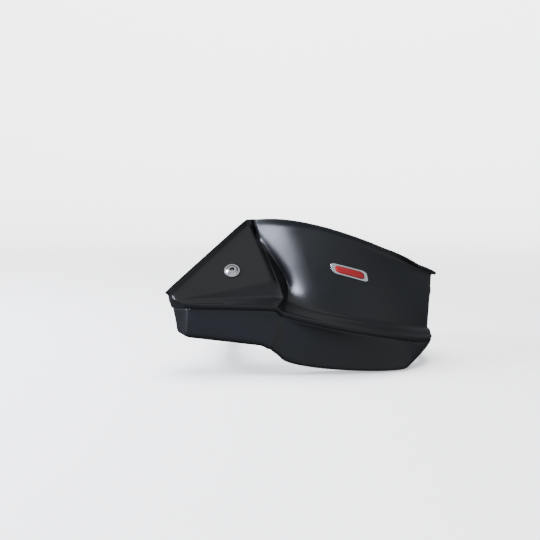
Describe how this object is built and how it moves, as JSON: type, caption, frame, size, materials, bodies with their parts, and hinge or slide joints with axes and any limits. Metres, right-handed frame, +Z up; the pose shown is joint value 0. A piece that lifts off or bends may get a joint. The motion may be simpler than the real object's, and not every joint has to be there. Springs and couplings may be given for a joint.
{
  "type": "motorcycle hand guard",
  "caption": "Left-hand motorcycle hand guard: a black moulded shell with a leaning facet and swept panel, on a bar clamp bracket and a bar-end stay.",
  "frame": {"origin": "centre of the bar clamp's bore, on the handlebar's axis", "axes": "+X along the handlebar towards its outer end, +Y back towards the rider, +Z up"},
  "size_m": [0.2518, 0.1251, 0.1317],
  "materials": {
    "shell_plastic": "satin black moulded plastic with a fine texture",
    "badge_metal": "bright domed badge plate",
    "badge_red": "gloss red inlay",
    "stainless_steel": "bright stainless",
    "zinc_steel": "zinc plated",
    "black_steel": "black powder coat",
    "black_aluminium": "black anodised",
    "stay_aluminium": "satin",
    "black_rubber": "matt"
  },
  "bodies": {
    "root": {"guard_shell": "shell_plastic", "badge_plate": "badge_metal", "badge_inlay": "badge_red", "front_bolt": "stainless_steel", "front_collar": "zinc_steel", "rubber_washer": "black_rubber", "front_washer": "zinc_steel", "front_lock_nut": "zinc_steel", "inner_bracket": "black_steel", "bracket_bolt": "stainless_steel", "bracket_washer": "zinc_steel", "clamp_front": "black_aluminium", "clamp_rear": "black_aluminium", "clamp_bolts": "stainless_steel", "stay_plate": "stay_aluminium", "stay_screws": "stainless_steel", "stay_collars": "zinc_steel", "stay_washers": "zinc_steel", "stay_lock_nuts": "zinc_steel", "bar_end_bolt": "stainless_steel", "bar_end_washer": "zinc_steel", "bar_end_weight": "black_steel", "expander_sleeve": "black_rubber", "expander_cone": "zinc_steel"}
  },
  "joints": []
}
